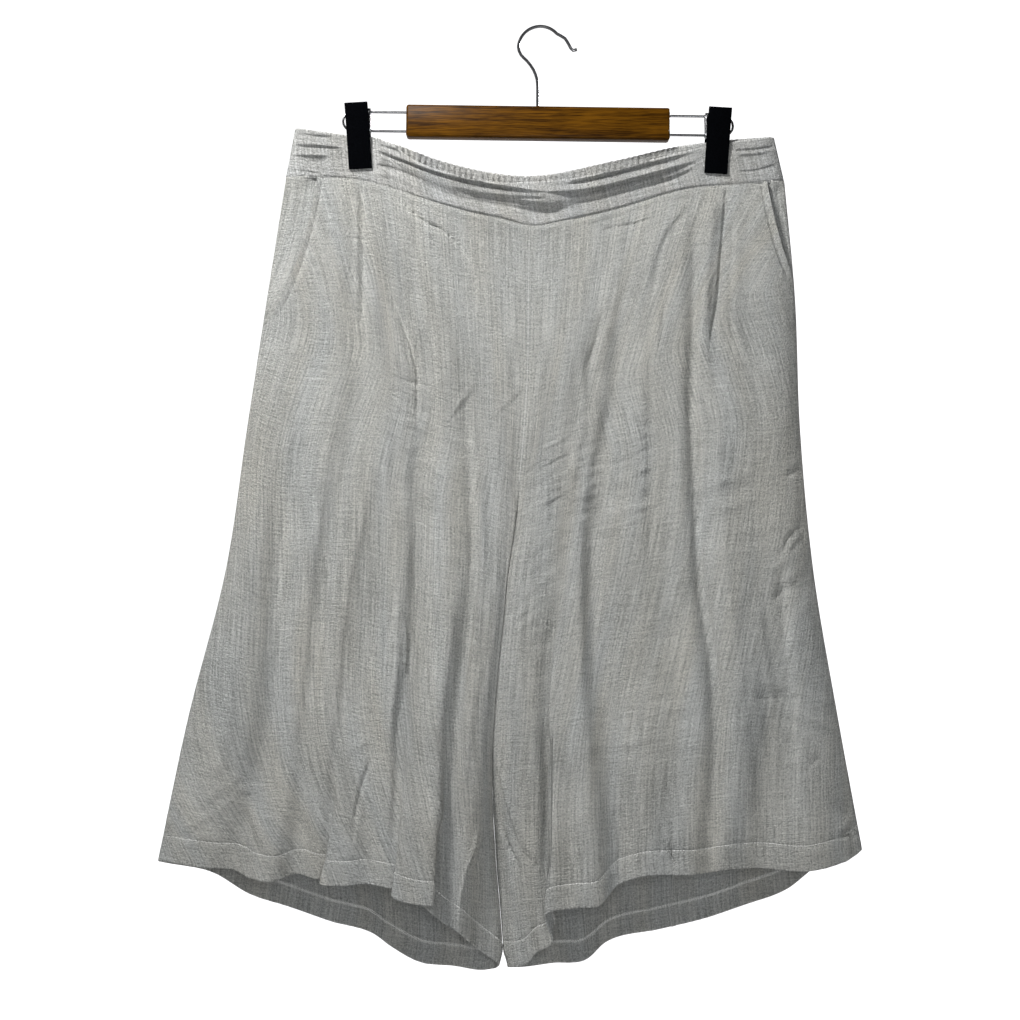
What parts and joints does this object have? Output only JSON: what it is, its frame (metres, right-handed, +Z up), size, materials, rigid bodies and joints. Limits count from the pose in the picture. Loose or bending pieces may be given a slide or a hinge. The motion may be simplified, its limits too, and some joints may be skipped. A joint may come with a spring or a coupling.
{
  "type": "cropped shorts on a clip hanger",
  "caption": "Wide cropped shorts in off-white slub linen with a flat front waistband, gathered back waist, front pleats and slanted pockets, clipped to a wooden trouser hanger.",
  "frame": {"origin": "the underside of the hook's crown, where a rail carries the hanger", "axes": "+X to the viewer's right along the bar, +Y away from the viewer to the garment's back, +Z up"},
  "size_m": [0.7042, 0.1011, 0.9481],
  "materials": {
    "linen": "matt crinkled slub weave",
    "linen_band": "matt slub weave, doubled",
    "wood": "clear lacquer over brown stain",
    "steel": "bright plated wire",
    "clip_black": "fine matt grain"
  },
  "bodies": {
    "root": {"hanger_bar": "wood", "hook": "steel", "rail_left": "steel", "rail_right": "steel", "clip_left_front": "clip_black", "clip_left_back": "clip_black", "clip_left_slider": "steel", "clip_right_front": "clip_black", "clip_right_back": "clip_black", "clip_right_slider": "steel", "front_left": "linen", "front_right": "linen", "back_left": "linen", "back_right": "linen", "pocket_facing_left": "linen", "pocket_facing_right": "linen", "waistband_front": "linen_band", "waistband_back": "linen_band"}
  },
  "joints": []
}
